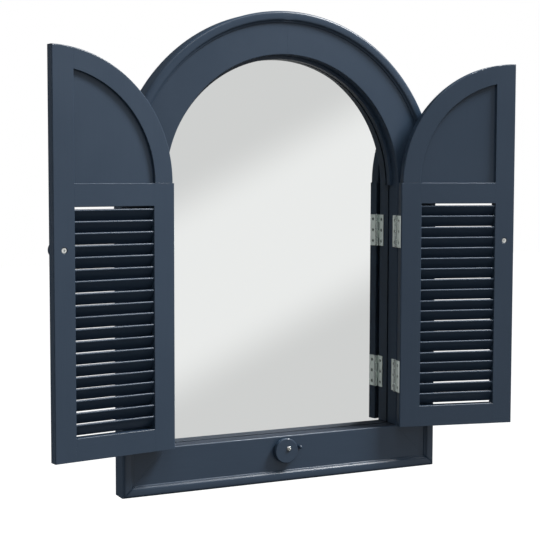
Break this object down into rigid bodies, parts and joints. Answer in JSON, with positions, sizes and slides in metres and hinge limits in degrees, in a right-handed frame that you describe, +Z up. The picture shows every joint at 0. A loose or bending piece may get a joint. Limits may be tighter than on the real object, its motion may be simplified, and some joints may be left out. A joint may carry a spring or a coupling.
{
  "type": "shutter mirror",
  "caption": "Arched wall mirror in a moulded wooden frame with a pair of louvred hinged shutters, knobs and an eccentric turn button on the bottom rail.",
  "frame": {"origin": "on the back of the frame, midway between the two hanging holes", "axes": "+X to the right of someone facing the mirror, +Y into the wall, +Z up"},
  "size_m": [0.7579, 0.0927, 0.7115],
  "materials": {
    "painted_wood": "satin blue-grey paint on wood",
    "mirror_glass": "silvered float glass",
    "plated_steel": "bright nickel-plated steel",
    "hardboard": "bare brown hardboard",
    "bare_wood": "bare beech"
  },
  "bodies": {
    "frame": {"arch_left": "painted_wood", "arch_right": "painted_wood", "stile_left": "painted_wood", "stile_right": "painted_wood", "bottom_rail": "painted_wood", "frame_dowels": "bare_wood", "arch_stop": "painted_wood", "mirror_glass": "mirror_glass", "back_board": "hardboard", "board_screws": "plated_steel", "hanger_plates": "plated_steel", "hanger_screws": "plated_steel", "stop_peg": "painted_wood", "pivot_washer": "plated_steel", "pivot_screw": "plated_steel", "jamb_leaf_low_left": "plated_steel", "jamb_leaf_high_left": "plated_steel", "jamb_leaf_low_right": "plated_steel", "jamb_leaf_high_right": "plated_steel", "hinge_pin_low_left": "plated_steel", "hinge_pin_high_left": "plated_steel", "hinge_pin_low_right": "plated_steel", "hinge_pin_high_right": "plated_steel", "jamb_leaf_screws": "plated_steel"},
    "turn_button": {"turn_button": "painted_wood"},
    "shutter_left": {"hinge_stile_left": "painted_wood", "meeting_stile_left": "painted_wood", "curved_rail_left": "painted_wood", "mid_rail_left": "painted_wood", "low_rail_left": "painted_wood", "arched_panel_left": "painted_wood", "louvres_left": "painted_wood", "knob_left": "painted_wood", "knob_screw_left": "plated_steel", "shutter_leaf_low_left": "plated_steel", "shutter_leaf_high_left": "plated_steel", "shutter_leaf_screws_left": "plated_steel"},
    "shutter_right": {"hinge_stile_right": "painted_wood", "meeting_stile_right": "painted_wood", "curved_rail_right": "painted_wood", "mid_rail_right": "painted_wood", "low_rail_right": "painted_wood", "arched_panel_right": "painted_wood", "louvres_right": "painted_wood", "knob_right": "painted_wood", "knob_screw_right": "plated_steel", "shutter_leaf_low_right": "plated_steel", "shutter_leaf_high_right": "plated_steel", "shutter_leaf_screws_right": "plated_steel"}
  },
  "joints": [
    {"name": "left_hinge", "type": "hinge", "parent": "frame", "child": "shutter_left", "pos_m": [-0.192, -0.0312, 0], "axis": [0, 0, 1], "range_deg": [-8.4, 171.6]},
    {"name": "right_hinge", "type": "hinge", "parent": "frame", "child": "shutter_right", "pos_m": [0.192, -0.0312, 0], "axis": [0, 0, 1], "range_deg": [-167.6, 12.4]},
    {"name": "turn_button_pivot", "type": "hinge", "parent": "frame", "child": "turn_button", "pos_m": [0, -0.031, -0.3605], "axis": [0, -1, 0], "range_deg": [-139.5, 49.5]}
  ]
}
